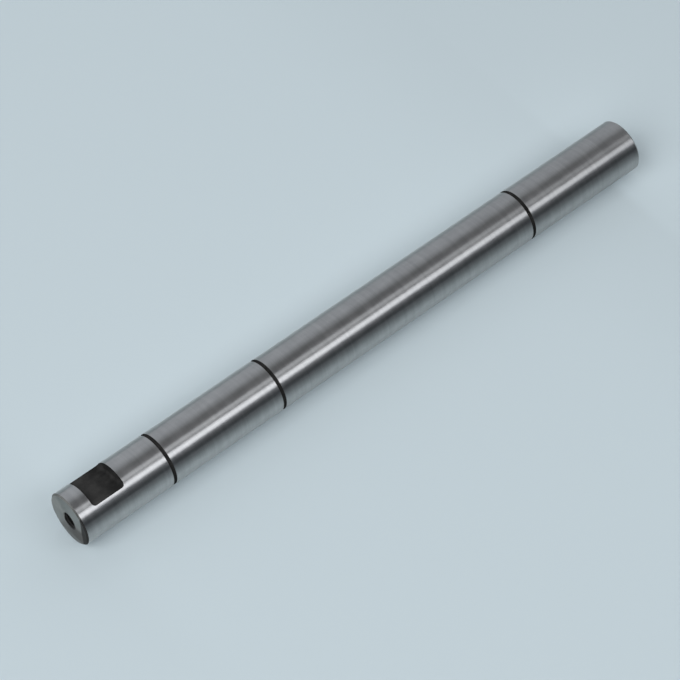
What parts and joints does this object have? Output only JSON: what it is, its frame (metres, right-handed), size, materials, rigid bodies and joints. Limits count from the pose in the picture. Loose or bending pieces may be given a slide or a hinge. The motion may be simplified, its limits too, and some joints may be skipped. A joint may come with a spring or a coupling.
{
  "type": "stepped shaft",
  "caption": "Slender ground steel shaft with seats parted by narrow dark grooves, a milled flat near one end and a tapped hole in that end.",
  "frame": {"origin": "centre of the plain end's face, which is the foot", "axes": "+Z along the shaft's axis towards the tapped end, +X out of the milled flat"},
  "size_m": [0.0252, 0.0252, 0.3141],
  "materials": {
    "steel": "ground bright on the seats, black oxide in the grooves, the flat and the chamfers"
  },
  "bodies": {
    "root": {"shaft": "steel"}
  },
  "joints": []
}
